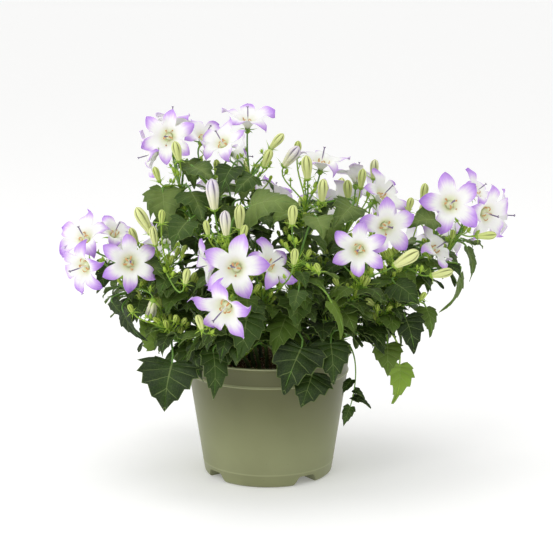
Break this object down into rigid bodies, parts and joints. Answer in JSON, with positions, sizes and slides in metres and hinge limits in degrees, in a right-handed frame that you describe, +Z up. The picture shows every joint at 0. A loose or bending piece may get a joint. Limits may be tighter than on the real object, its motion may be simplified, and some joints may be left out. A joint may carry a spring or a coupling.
{
  "type": "potted bellflower",
  "caption": "Bushy bellflower with white star-shaped blooms tipped in lilac, buds and toothed leaves, in a tapered plastic nursery pot.",
  "frame": {"origin": "centre of the flat pad under the pot, on the surface that it stands on", "axes": "+Z up along the pot's axis, +X to the right and -Y towards someone who looks at the front"},
  "size_m": [0.3745, 0.2917, 0.3098],
  "materials": {
    "pot_plastic": "satin",
    "peat": "matte",
    "foliage": "satin",
    "petals": "matte"
  },
  "bodies": {
    "root": {"bloom_back_far_right_1": "petals", "bloom_back_far_right_2": "petals", "bloom_back_left_1": "petals", "bloom_back_left_2": "petals", "bloom_back_mid_1": "petals", "bloom_back_mid_2": "petals", "bloom_back_right_1": "petals", "bloom_back_right_2": "petals", "bloom_front_low_1": "petals", "bloom_front_mid_1": "petals", "bloom_front_mid_2": "petals", "bloom_front_right_bloom_1": "petals", "bloom_left_back_1": "petals", "bloom_left_back_2": "petals", "bloom_left_low_1": "petals", "bloom_left_low_2": "petals", "bloom_right_arm_1": "petals", "bloom_right_arm_2": "petals", "bloom_right_back_1": "petals", "bloom_right_back_2": "petals", "bloom_right_front_1": "petals", "bloom_right_front_2": "petals", "bloom_right_low_1": "petals", "bloom_right_mid_1": "petals", "bloom_right_tip_1": "petals", "bloom_right_tip_2": "petals", "bloom_top_left_1": "petals", "bloom_top_left_2": "petals", "bloom_top_left_3": "petals", "bloom_top_left_mid_1": "petals", "bloom_top_left_mid_2": "petals", "bloom_top_mid_1": "petals", "bloom_top_mid_2": "petals", "bloom_top_right_1": "petals", "leafy_stem_back_far_right": "foliage", "leafy_stem_back_left": "foliage", "leafy_stem_back_mid": "foliage", "leafy_stem_back_right": "foliage", "leafy_stem_front_buds_left": "foliage", "leafy_stem_front_buds_right": "foliage", "leafy_stem_front_low": "foliage", "leafy_stem_front_mid": "foliage", "leafy_stem_front_right_bloom": "foliage", "leafy_stem_left_back": "foliage", "leafy_stem_left_buds": "foliage", "leafy_stem_left_low": "foliage", "leafy_stem_left_skirt": "foliage", "leafy_stem_right_arm": "foliage", "leafy_stem_right_back": "foliage", "leafy_stem_right_front": "foliage", "leafy_stem_right_low": "foliage", "leafy_stem_right_mid": "foliage", "leafy_stem_right_skirt": "foliage", "leafy_stem_right_tip": "foliage", "leafy_stem_top_left": "foliage", "leafy_stem_top_left_mid": "foliage", "leafy_stem_top_mid": "foliage", "leafy_stem_top_right": "foliage", "pot": "pot_plastic", "soil": "peat"}
  },
  "joints": []
}
